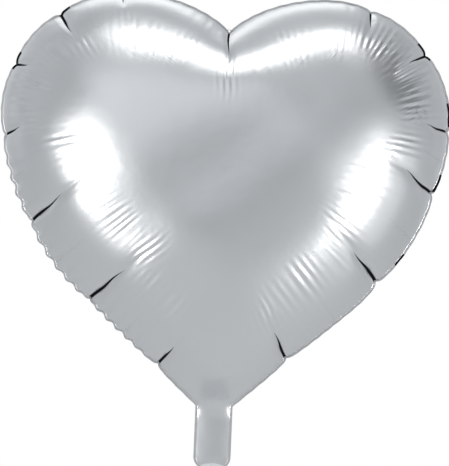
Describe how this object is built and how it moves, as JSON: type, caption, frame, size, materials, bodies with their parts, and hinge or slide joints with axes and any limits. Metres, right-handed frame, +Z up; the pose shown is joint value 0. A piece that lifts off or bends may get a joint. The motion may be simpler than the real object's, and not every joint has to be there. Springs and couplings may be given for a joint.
{
  "type": "heart-shaped foil balloon",
  "caption": "Inflated heart-shaped foil balloon: welded front and back foil panels, puckered rim, and a flat folding tail with a self-sealing film valve inside.",
  "frame": {"origin": "middle of the tail root, where a ribbon is tied, on the weld plane", "axes": "+Z up from the tail root to the notch, -Y out of the front panel, +X to the right seen from the front"},
  "size_m": [0.3731, 0.1886, 0.392],
  "materials": {
    "foil": "satin silver metallised film",
    "valve_film": "translucent milky film"
  },
  "bodies": {
    "heart": {"front_panel": "foil", "back_panel": "foil", "valve_front_film": "valve_film", "valve_back_film": "valve_film"},
    "tail": {"neck_front": "foil", "neck_back": "foil", "neck_valve_front": "valve_film", "neck_valve_back": "valve_film"}
  },
  "joints": [
    {"name": "neck_fold", "type": "hinge", "parent": "heart", "child": "tail", "pos_m": [0, 0, 0], "axis": [1, 0, 0], "range_deg": [-80, 80]}
  ]
}
